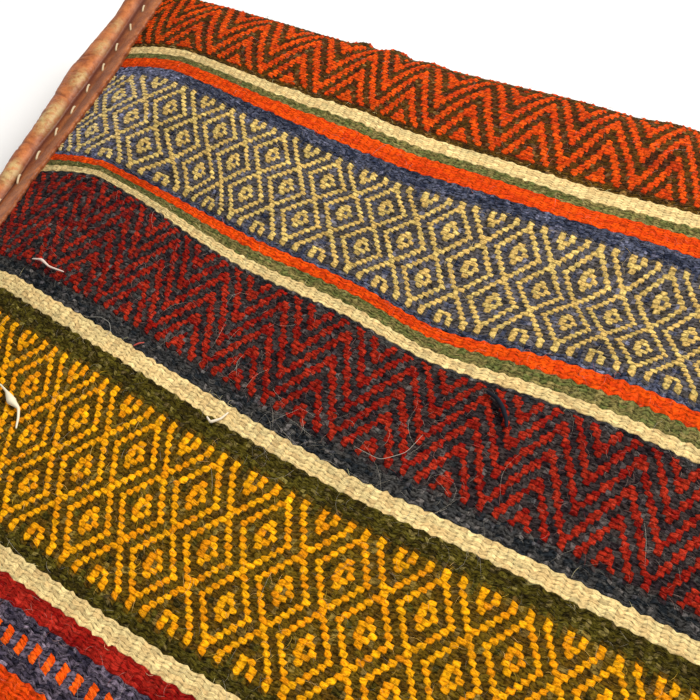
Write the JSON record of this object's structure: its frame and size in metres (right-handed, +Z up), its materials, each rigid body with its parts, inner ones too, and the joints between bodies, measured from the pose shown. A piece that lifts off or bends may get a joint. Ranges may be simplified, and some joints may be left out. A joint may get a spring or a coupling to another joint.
{
  "type": "cargo bag",
  "caption": "Flat woven wool cargo sack, folded at the bottom, with leather-bound side seams, a leather-edged mouth, buttoned closing straps and lashing rings.",
  "frame": {"origin": "on the ground under the middle of the sack as it lies on its back", "axes": "+X along the woven stripes, +Y towards the folded bottom, -Y towards the mouth, +Z up out of the patterned front"},
  "size_m": [0.708, 0.6048, 0.093],
  "materials": {
    "flatweave": "weft-faced wool flatweave in patterned bands",
    "binding_leather": "tan vegetable-tanned, wrinkled and scuffed",
    "strap_leather": "brown harness leather, smooth",
    "piping_cord": "undyed cotton",
    "brass": "worn satin"
  },
  "bodies": {
    "sack": {"woven_body": "flatweave", "left_binding": "binding_leather", "left_piping_cord": "piping_cord", "right_binding": "binding_leather", "right_piping_cord": "piping_cord", "mouth_binding": "binding_leather", "left_fold_tab": "strap_leather", "left_fold_tab_rivet_1": "brass", "left_fold_tab_rivet_2": "brass", "left_mouth_tab": "strap_leather", "left_mouth_tab_rivet_1": "brass", "left_mouth_tab_rivet_2": "brass", "right_fold_tab": "strap_leather", "right_fold_tab_rivet_1": "brass", "right_fold_tab_rivet_2": "brass", "right_mouth_tab": "strap_leather", "right_mouth_tab_rivet_1": "brass", "right_mouth_tab_rivet_2": "brass", "left_stud_patch": "strap_leather", "left_stud": "brass", "left_stud_washer": "brass", "left_strap_anchor": "strap_leather", "left_anchor_rivet_1": "brass", "left_anchor_rivet_2": "brass", "middle_stud_patch": "strap_leather", "middle_stud": "brass", "middle_stud_washer": "brass", "middle_strap_anchor": "strap_leather", "middle_anchor_rivet_1": "brass", "middle_anchor_rivet_2": "brass", "right_stud_patch": "strap_leather", "right_stud": "brass", "right_stud_washer": "brass", "right_strap_anchor": "strap_leather", "right_anchor_rivet_1": "brass", "right_anchor_rivet_2": "brass"},
    "left_fold_ring": {"left_fold_ring": "brass"},
    "left_mouth_ring": {"left_mouth_ring": "brass"},
    "right_fold_ring": {"right_fold_ring": "brass"},
    "right_mouth_ring": {"right_mouth_ring": "brass"},
    "left_strap": {"left_strap": "strap_leather"},
    "middle_strap": {"middle_strap": "strap_leather"},
    "right_strap": {"right_strap": "strap_leather"}
  },
  "joints": [
    {"name": "left_fold_ring_swing", "type": "hinge", "parent": "sack", "child": "left_fold_ring", "pos_m": [-0.33073, 0.08564, 0.042], "axis": [-0.0678, 0.9977, 0], "range_deg": [-40, 220]},
    {"name": "left_mouth_ring_swing", "type": "hinge", "parent": "sack", "child": "left_mouth_ring", "pos_m": [-0.33073, -0.08084, 0.042], "axis": [0.0678, 0.9977, 0], "range_deg": [-40, 220]},
    {"name": "right_fold_ring_swing", "type": "hinge", "parent": "sack", "child": "right_fold_ring", "pos_m": [0.33073, 0.08564, 0.042], "axis": [-0.0678, -0.9977, 0], "range_deg": [-40, 220]},
    {"name": "right_mouth_ring_swing", "type": "hinge", "parent": "sack", "child": "right_mouth_ring", "pos_m": [0.33073, -0.08084, 0.042], "axis": [0.0678, -0.9977, 0], "range_deg": [-40, 220]},
    {"name": "left_strap_lift", "type": "hinge", "parent": "sack", "child": "left_strap", "pos_m": [-0.18, -0.30115, 0.02352], "axis": [1, 0, 0], "range_deg": [0, 110]},
    {"name": "middle_strap_lift", "type": "hinge", "parent": "sack", "child": "middle_strap", "pos_m": [0, -0.30115, 0.02345], "axis": [1, 0, 0], "range_deg": [0, 110]},
    {"name": "right_strap_lift", "type": "hinge", "parent": "sack", "child": "right_strap", "pos_m": [0.18, -0.30115, 0.02352], "axis": [1, 0, 0], "range_deg": [0, 110]}
  ]
}
